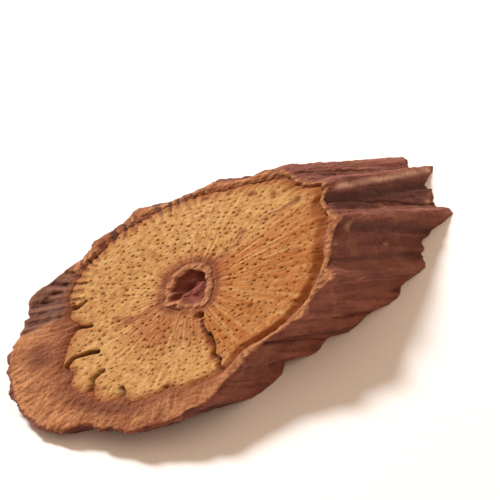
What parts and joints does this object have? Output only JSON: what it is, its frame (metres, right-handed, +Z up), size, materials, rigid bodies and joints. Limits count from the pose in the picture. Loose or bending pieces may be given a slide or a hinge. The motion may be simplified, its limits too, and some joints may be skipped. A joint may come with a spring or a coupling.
{
  "type": "slice of dried fleeceflower vine",
  "caption": "Thick slanting slice of a dried woody climbing stem with ridged purple-brown bark, porous tan wood and an open pith, lying on its lower cut.",
  "frame": {"origin": "under the middle of the slice, on the surface it lies on", "axes": "+X along the slice's long way, towards its thick end; +Z up; the stem's own axis dips 29.6 degrees below +X"},
  "size_m": [0.0328, 0.0142, 0.0057],
  "materials": {
    "wood": "dry cut end grain, matte",
    "bark": "dry purple-brown bark, matte with a faint sheen on worn ridges"
  },
  "bodies": {
    "root": {"vine_slice": "wood"}
  },
  "joints": []
}
